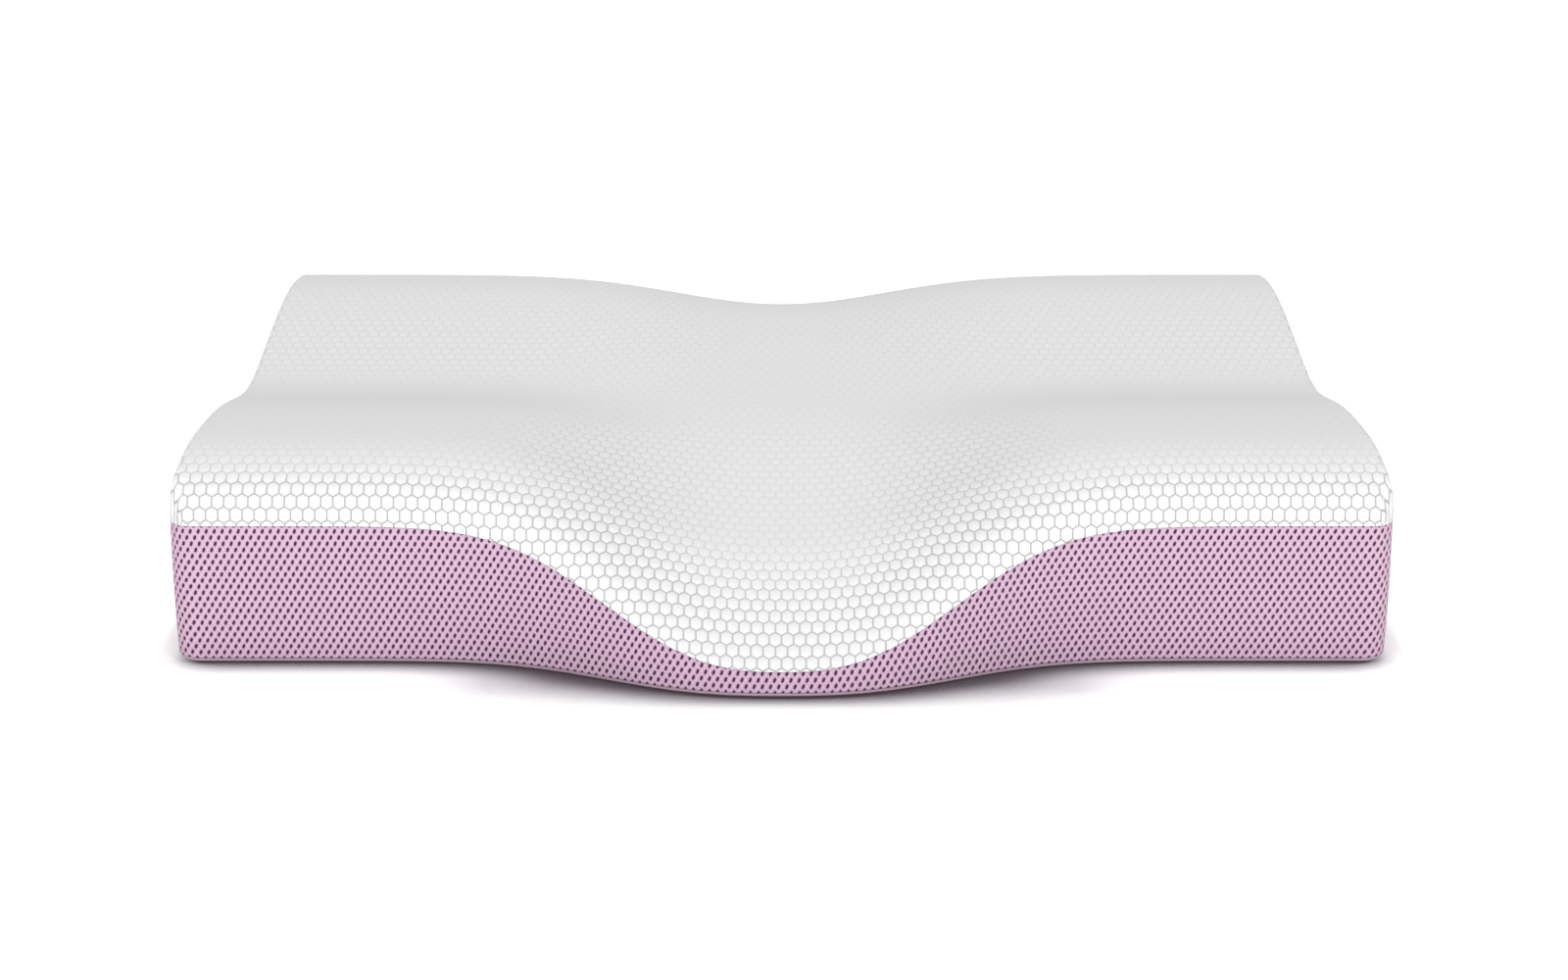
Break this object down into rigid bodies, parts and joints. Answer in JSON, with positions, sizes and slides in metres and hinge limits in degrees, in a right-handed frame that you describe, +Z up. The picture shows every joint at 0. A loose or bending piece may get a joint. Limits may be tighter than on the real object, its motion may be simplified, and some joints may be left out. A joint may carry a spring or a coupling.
{
  "type": "contoured pillow",
  "caption": "Contoured foam pillow with a scooped neck roll, a higher head roll, a honeycomb-knit top panel, a mesh side band and a flat base.",
  "frame": {"origin": "on the underside, below the middle of the whole pillow", "axes": "+X across the pillow's width, +Y from the lower neck roll to the higher head roll, +Z up"},
  "size_m": [0.6, 0.3858, 0.117],
  "materials": {
    "white_knit": "matt honeycomb jacquard knit",
    "pink_mesh": "spacer mesh with small oval holes",
    "mauve_cloth": "plain matt knit"
  },
  "bodies": {
    "root": {"cushion": "white_knit", "side_band": "pink_mesh", "base_panel": "mauve_cloth"}
  },
  "joints": []
}
